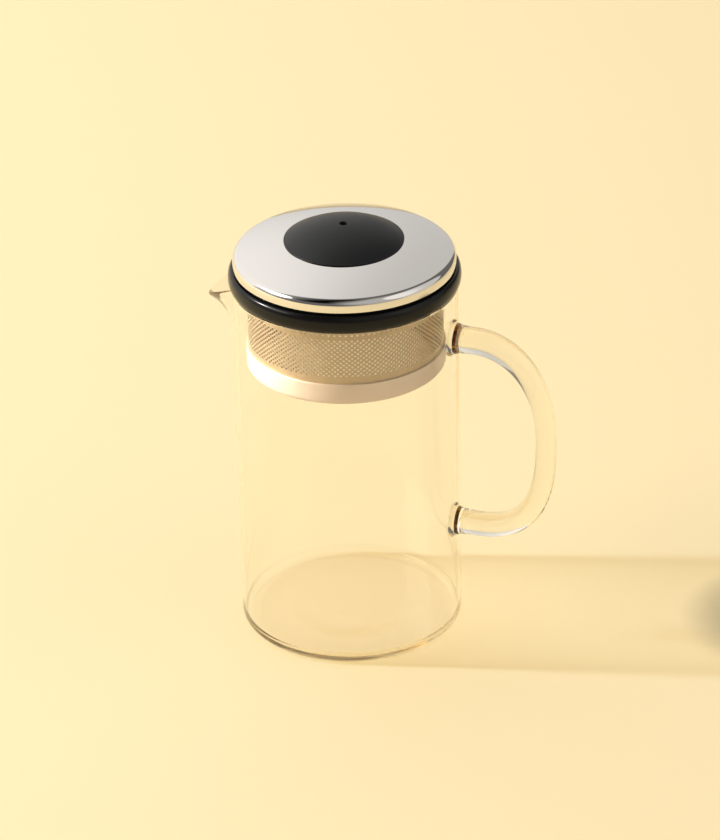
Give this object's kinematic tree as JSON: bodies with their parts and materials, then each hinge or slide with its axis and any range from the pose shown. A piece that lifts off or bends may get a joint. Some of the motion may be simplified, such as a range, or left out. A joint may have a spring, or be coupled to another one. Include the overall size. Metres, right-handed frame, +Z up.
{
  "type": "glass teapot",
  "caption": "Straight glass teapot with a pulled lip and rod handle, a perforated steel strainer in a black collar, and a steel lid with a domed knob.",
  "frame": {"origin": "centre of the jug's flat underside, on the pot's axis", "axes": "+Z up along the pot's axis, +X towards the handle, the pouring lip on -X"},
  "size_m": [0.1377, 0.0876, 0.1668],
  "materials": {
    "clear_glass": "clear, fire-polished borosilicate glass",
    "polished_steel": "mirror-polished stainless steel",
    "strainer_steel": "thin stainless sheet, fine turned brushing",
    "screw_steel": "plain stainless steel",
    "gloss_black": "glossy black moulded plastic",
    "satin_black": "satin black moulded plastic",
    "silicone": "soft black silicone"
  },
  "bodies": {
    "pot": {"glass_body": "clear_glass", "glass_handle": "clear_glass"},
    "gasket": {"rim_gasket": "silicone"},
    "strainer": {"strainer_collar": "gloss_black", "strainer_sleeve": "strainer_steel", "strainer_pan": "strainer_steel"},
    "lid_seal": {"lid_gasket": "silicone"},
    "lid": {"lid_liner": "satin_black", "lid_cap": "polished_steel", "lid_knob": "satin_black", "lid_screw_1": "screw_steel", "lid_screw_2": "screw_steel", "lid_screw_3": "screw_steel"}
  },
  "joints": [
    {"name": "strainer_lift", "type": "slide", "parent": "pot", "child": "gasket", "axis": [0, 0, 1], "range_m": [0, 0.045]},
    {"name": "strainer_turn", "type": "hinge", "parent": "gasket", "child": "strainer", "pos_m": [0, 0, 0.145], "axis": [0, 0, 1], "continuous": true},
    {"name": "lid_lift", "type": "slide", "parent": "strainer", "child": "lid_seal", "axis": [0, 0, 1], "range_m": [0, 0.035]},
    {"name": "lid_turn", "type": "hinge", "parent": "lid_seal", "child": "lid", "pos_m": [0, 0, 0.15], "axis": [0, 0, 1], "continuous": true}
  ]
}
